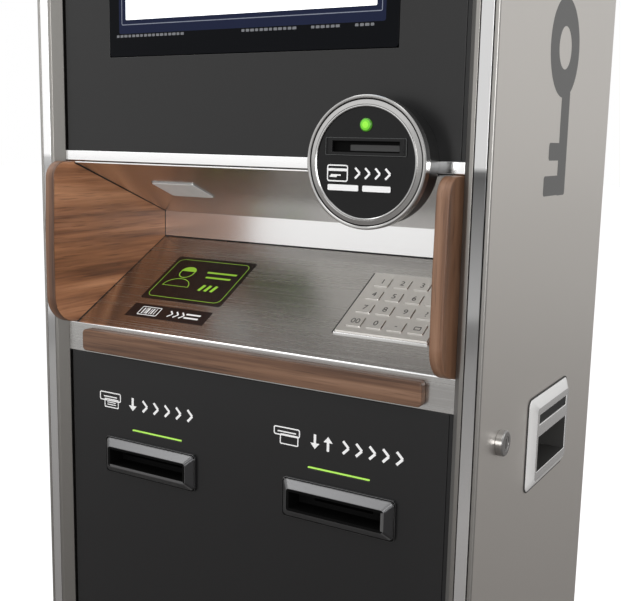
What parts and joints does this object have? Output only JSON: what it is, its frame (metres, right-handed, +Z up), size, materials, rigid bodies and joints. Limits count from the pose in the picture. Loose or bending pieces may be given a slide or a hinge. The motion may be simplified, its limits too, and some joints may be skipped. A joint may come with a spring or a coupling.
{
  "type": "self-service kiosk",
  "caption": "Floor-standing card and receipt terminal with a display, a sloped desk and PIN pad between walnut cheeks, a round card reader and a service door.",
  "frame": {"origin": "centre of the bounding box at the floor", "axes": "+Z up, front faces -Y, +X to the right of a user's view along +Y"},
  "size_m": [0.4664, 0.347, 1.65],
  "materials": {
    "satin_steel": "bead-blasted satin steel skin",
    "post_aluminium": "brushed anodised extrusion",
    "bright_trim": "polished",
    "black_panel": "fine-textured satin black",
    "frame_paint": "black powder coat",
    "plinth_paint": "dark grey powder coat",
    "recess_steel": "lengthwise brushed stainless",
    "walnut": "oiled walnut",
    "screen_glass": "dark coated display glass",
    "window_glass": "printed black window",
    "lamp_lens": "opal diffuser",
    "key_zinc": "satin plated key metal",
    "reader_black": "satin black moulding",
    "ring_metal": "turned satin metal",
    "bezel_black": "satin charcoal moulding",
    "guide_green": "lit green light guide",
    "module_grey": "grey equipment case",
    "roller_rubber": "ground rubber",
    "paper": "thermal paper roll",
    "zinc_casting": "satin plated casting",
    "lock_metal": "satin nickel plate",
    "foot_metal": "zinc plated steel"
  },
  "bodies": {
    "cabinet": {"base_plinth": "plinth_paint", "levelling_feet": "foot_metal", "cabinet_frame": "frame_paint", "left_side_panel": "satin_steel", "rear_panel": "satin_steel", "top_cap": "satin_steel", "front_posts": "post_aluminium", "chrome_strips": "bright_trim", "upper_front_panel": "black_panel", "lower_front_panel": "black_panel", "display_glass": "screen_glass", "display_module": "module_grey", "trim_band": "bright_trim", "recess_liner": "recess_steel", "desk_plate": "recess_steel", "wood_cheeks": "walnut", "hand_rest": "walnut", "work_light": "lamp_lens", "scan_windows": "window_glass", "id_reader": "module_grey", "barcode_scanner": "module_grey", "pinpad_plate": "key_zinc", "pinpad_housing": "module_grey", "reader_barrel": "reader_black", "reader_ring": "ring_metal", "reader_face": "reader_black", "status_lights": "guide_green", "receipt_bezel": "bezel_black", "receipt_printer": "module_grey", "card_bezel": "bezel_black", "card_dispenser": "module_grey", "hinge_pins": "foot_metal", "computer_box": "module_grey", "fan_frame": "reader_black", "power_inlet": "reader_black"},
    "door": {"service_door": "satin_steel", "lock_body": "lock_metal", "flush_pull": "zinc_casting"},
    "lock": {"lock_plug": "lock_metal"},
    "shutter": {"reader_shutter": "reader_black"},
    "platen": {"platen_roller": "roller_rubber"},
    "paper": {"paper_roll": "paper"},
    "fan": {"fan_rotor": "reader_black"},
    "rocker": {"rocker_switch": "reader_black"},
    "key_1": {"key_1": "key_zinc"},
    "key_2": {"key_2": "key_zinc"},
    "key_3": {"key_3": "key_zinc"},
    "key_cancel": {"key_cancel": "key_zinc"},
    "key_4": {"key_4": "key_zinc"},
    "key_5": {"key_5": "key_zinc"},
    "key_6": {"key_6": "key_zinc"},
    "key_clear": {"key_clear": "key_zinc"},
    "key_7": {"key_7": "key_zinc"},
    "key_8": {"key_8": "key_zinc"},
    "key_9": {"key_9": "key_zinc"},
    "key_help": {"key_help": "key_zinc"},
    "key_double_zero": {"key_double_zero": "key_zinc"},
    "key_0": {"key_0": "key_zinc"},
    "key_dash": {"key_dash": "key_zinc"},
    "key_enter": {"key_enter": "key_zinc"}
  },
  "joints": [
    {"name": "door_swing", "type": "hinge", "parent": "cabinet", "child": "door", "pos_m": [0.2198, 0.1663, 0.8], "axis": [0, 0, 1], "range_deg": [0, 95]},
    {"name": "lock_turn", "type": "hinge", "parent": "door", "child": "lock", "pos_m": [0.2268, -0.1056, 0.7719], "axis": [1, 0, 0], "range_deg": [0, 90]},
    {"name": "shutter_slide", "type": "slide", "parent": "cabinet", "child": "shutter", "axis": [0, 0, -1], "range_m": [0, 0.011], "stiffness_N_per_m": 30, "springref_m": -0.005},
    {"name": "roll_spin", "type": "hinge", "parent": "cabinet", "child": "paper", "pos_m": [-0.1052, -0.0383, 0.6871], "axis": [1, 0, 0], "continuous": true},
    {"name": "platen_spin", "type": "hinge", "parent": "cabinet", "child": "platen", "pos_m": [-0.1052, -0.1133, 0.6901], "axis": [1, 0, 0], "continuous": true},
    {"name": "fan_spin", "type": "hinge", "parent": "cabinet", "child": "fan", "pos_m": [-0.0832, 0.1633, 1.36], "axis": [0, 1, 0], "continuous": true},
    {"name": "rocker_tilt", "type": "hinge", "parent": "cabinet", "child": "rocker", "pos_m": [0.1068, 0.1683, 0.183], "axis": [1, 0, 0], "range_deg": [-7, 7]},
    {"name": "press_key_1", "type": "slide", "parent": "cabinet", "child": "key_1", "axis": [0, 0.4794, -0.8776], "range_m": [0, 0.0015], "stiffness_N_per_m": 400, "springref_m": -0.001},
    {"name": "press_key_2", "type": "slide", "parent": "cabinet", "child": "key_2", "axis": [0, 0.4794, -0.8776], "range_m": [0, 0.0015], "stiffness_N_per_m": 400, "springref_m": -0.001},
    {"name": "press_key_3", "type": "slide", "parent": "cabinet", "child": "key_3", "axis": [0, 0.4794, -0.8776], "range_m": [0, 0.0015], "stiffness_N_per_m": 400, "springref_m": -0.001},
    {"name": "press_key_cancel", "type": "slide", "parent": "cabinet", "child": "key_cancel", "axis": [0, 0.4794, -0.8776], "range_m": [0, 0.0015], "stiffness_N_per_m": 400, "springref_m": -0.001},
    {"name": "press_key_4", "type": "slide", "parent": "cabinet", "child": "key_4", "axis": [0, 0.4794, -0.8776], "range_m": [0, 0.0015], "stiffness_N_per_m": 400, "springref_m": -0.001},
    {"name": "press_key_5", "type": "slide", "parent": "cabinet", "child": "key_5", "axis": [0, 0.4794, -0.8776], "range_m": [0, 0.0015], "stiffness_N_per_m": 400, "springref_m": -0.001},
    {"name": "press_key_6", "type": "slide", "parent": "cabinet", "child": "key_6", "axis": [0, 0.4794, -0.8776], "range_m": [0, 0.0015], "stiffness_N_per_m": 400, "springref_m": -0.001},
    {"name": "press_key_clear", "type": "slide", "parent": "cabinet", "child": "key_clear", "axis": [0, 0.4794, -0.8776], "range_m": [0, 0.0015], "stiffness_N_per_m": 400, "springref_m": -0.001},
    {"name": "press_key_7", "type": "slide", "parent": "cabinet", "child": "key_7", "axis": [0, 0.4794, -0.8776], "range_m": [0, 0.0015], "stiffness_N_per_m": 400, "springref_m": -0.001},
    {"name": "press_key_8", "type": "slide", "parent": "cabinet", "child": "key_8", "axis": [0, 0.4794, -0.8776], "range_m": [0, 0.0015], "stiffness_N_per_m": 400, "springref_m": -0.001},
    {"name": "press_key_9", "type": "slide", "parent": "cabinet", "child": "key_9", "axis": [0, 0.4794, -0.8776], "range_m": [0, 0.0015], "stiffness_N_per_m": 400, "springref_m": -0.001},
    {"name": "press_key_help", "type": "slide", "parent": "cabinet", "child": "key_help", "axis": [0, 0.4794, -0.8776], "range_m": [0, 0.0015], "stiffness_N_per_m": 400, "springref_m": -0.001},
    {"name": "press_key_double_zero", "type": "slide", "parent": "cabinet", "child": "key_double_zero", "axis": [0, 0.4794, -0.8776], "range_m": [0, 0.0015], "stiffness_N_per_m": 400, "springref_m": -0.001},
    {"name": "press_key_0", "type": "slide", "parent": "cabinet", "child": "key_0", "axis": [0, 0.4794, -0.8776], "range_m": [0, 0.0015], "stiffness_N_per_m": 400, "springref_m": -0.001},
    {"name": "press_key_dash", "type": "slide", "parent": "cabinet", "child": "key_dash", "axis": [0, 0.4794, -0.8776], "range_m": [0, 0.0015], "stiffness_N_per_m": 400, "springref_m": -0.001},
    {"name": "press_key_enter", "type": "slide", "parent": "cabinet", "child": "key_enter", "axis": [0, 0.4794, -0.8776], "range_m": [0, 0.0015], "stiffness_N_per_m": 400, "springref_m": -0.001}
  ],
  "couplings": [
    {"joint": "platen_spin", "follows": "roll_spin", "ratio": 4.8101}
  ]
}
